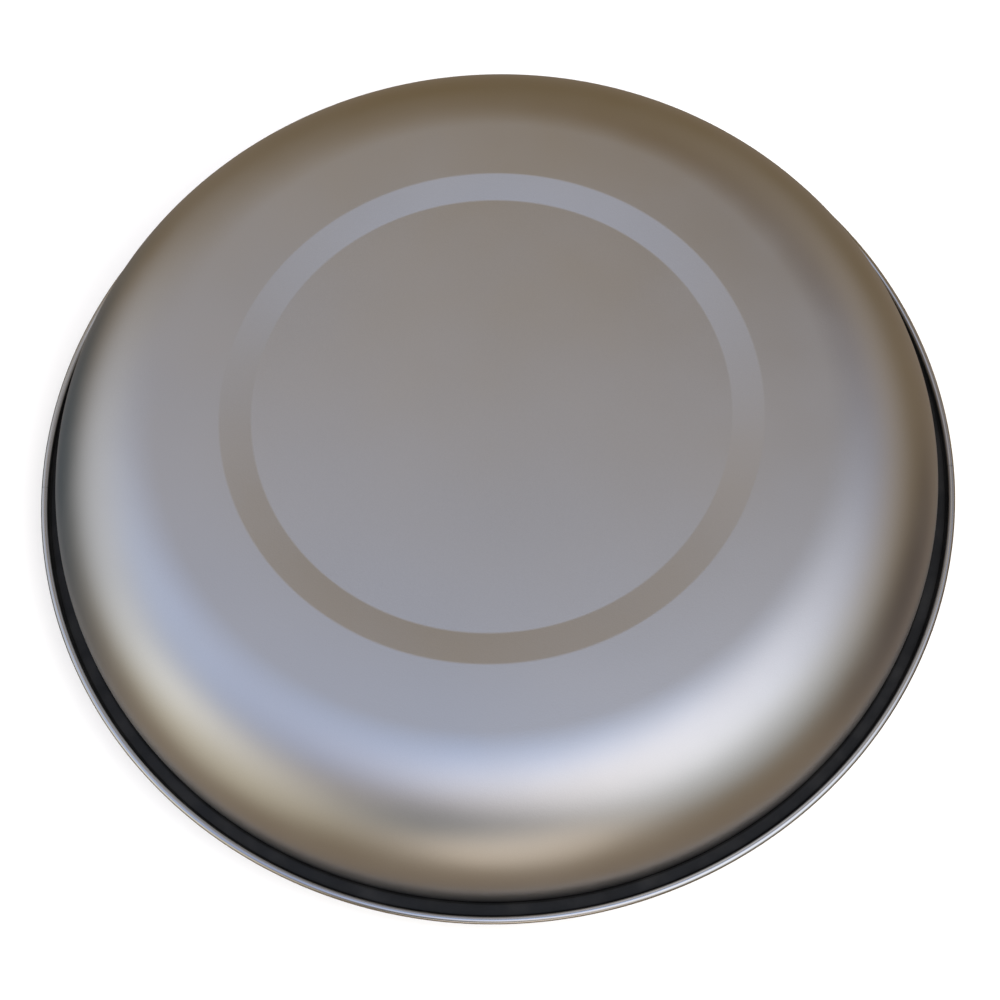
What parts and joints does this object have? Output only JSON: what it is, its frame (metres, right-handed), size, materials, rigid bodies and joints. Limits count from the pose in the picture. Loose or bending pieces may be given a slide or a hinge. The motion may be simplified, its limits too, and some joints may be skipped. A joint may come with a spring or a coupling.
{
  "type": "spare tyre cover",
  "caption": "Round hard spare-wheel cover: a deep satin stainless dish in a hinged, key-locked clamp ring with a rolled rim.",
  "frame": {"origin": "on the axis of the dish, on the floor that the rear edge trim lies on: the middle of the bottom of the bounding box", "axes": "+Z out of the front face along the axis of the dish, -X through the hinge pin, +X through the key lock"},
  "size_m": [0.763, 0.75, 0.1894],
  "materials": {
    "satin_stainless": "bead-blasted satin stainless steel",
    "polished_stainless": "polished stainless steel",
    "pad_rubber": "ribbed matt rubber",
    "edge_rubber": "matt black rubber",
    "gasket_rubber": "matt black rubber sheet",
    "cast_zinc": "satin-plated zinc casting",
    "lock_brass": "machined brass",
    "black_plastic": "moulded black plastic",
    "bright_fasteners": "plain stainless steel",
    "wire_steel": "drawn steel wire",
    "plated_steel": "zinc-plated pressed steel"
  },
  "bodies": {
    "cover": {"bead_wire_fixed": "wire_steel", "dish_edge_seal": "edge_rubber", "dust_cap_pin": "bright_fasteners", "front_dish": "satin_stainless", "hinge_leaf_fixed": "plated_steel", "hinge_pin": "bright_fasteners", "hinge_rivet_fixed_1": "bright_fasteners", "hinge_rivet_fixed_2": "bright_fasteners", "hinge_rivet_fixed_3": "bright_fasteners", "lock_barrel": "cast_zinc", "lock_gasket": "gasket_rubber", "lock_housing": "cast_zinc", "lock_screw_1": "bright_fasteners", "lock_screw_2": "bright_fasteners", "rear_trim_fixed": "edge_rubber", "ring_half_fixed": "polished_stainless", "sidewall_bumper_1": "pad_rubber", "sidewall_bumper_2": "pad_rubber", "sidewall_bumper_3": "pad_rubber", "sidewall_bumper_4": "pad_rubber", "sidewall_bumper_5": "pad_rubber", "sidewall_bumper_6": "pad_rubber", "tread_pad_fixed_1": "pad_rubber", "tread_pad_fixed_2": "pad_rubber", "tread_pad_fixed_3": "pad_rubber", "tread_pad_fixed_4": "pad_rubber", "tread_pad_fixed_5": "pad_rubber", "tread_pad_fixed_6": "pad_rubber"},
    "ring_swing": {"bead_wire_swing": "wire_steel", "hinge_leaf_swing": "plated_steel", "hinge_rivet_swing_1": "bright_fasteners", "hinge_rivet_swing_2": "bright_fasteners", "hinge_rivet_swing_3": "bright_fasteners", "latch_tongue": "plated_steel", "rear_trim_swing": "edge_rubber", "ring_half_swing": "polished_stainless", "tongue_rivet_1": "bright_fasteners", "tongue_rivet_2": "bright_fasteners", "tongue_rivet_3": "bright_fasteners", "tongue_rivet_4": "bright_fasteners", "tread_pad_swing_1": "pad_rubber", "tread_pad_swing_2": "pad_rubber", "tread_pad_swing_3": "pad_rubber", "tread_pad_swing_4": "pad_rubber", "tread_pad_swing_5": "pad_rubber", "tread_pad_swing_6": "pad_rubber"},
    "lock_plug": {"lock_plug": "lock_brass", "lock_cam": "plated_steel", "cam_screw": "bright_fasteners"},
    "dust_cap": {"lock_dust_cap": "black_plastic"}
  },
  "joints": [
    {"name": "ring_open", "type": "hinge", "parent": "cover", "child": "ring_swing", "pos_m": [-0.3775, 0, 0.0344], "axis": [0, 0, -1], "range_deg": [0, 90]},
    {"name": "lock_turn", "type": "hinge", "parent": "cover", "child": "lock_plug", "pos_m": [0.366, 0, 0.0354], "axis": [-1, 0, 0], "range_deg": [0, 90]},
    {"name": "dust_cap_flip", "type": "hinge", "parent": "cover", "child": "dust_cap", "pos_m": [0.3798, 0, 0.0476], "axis": [0, -1, 0], "range_deg": [0, 100]}
  ]
}
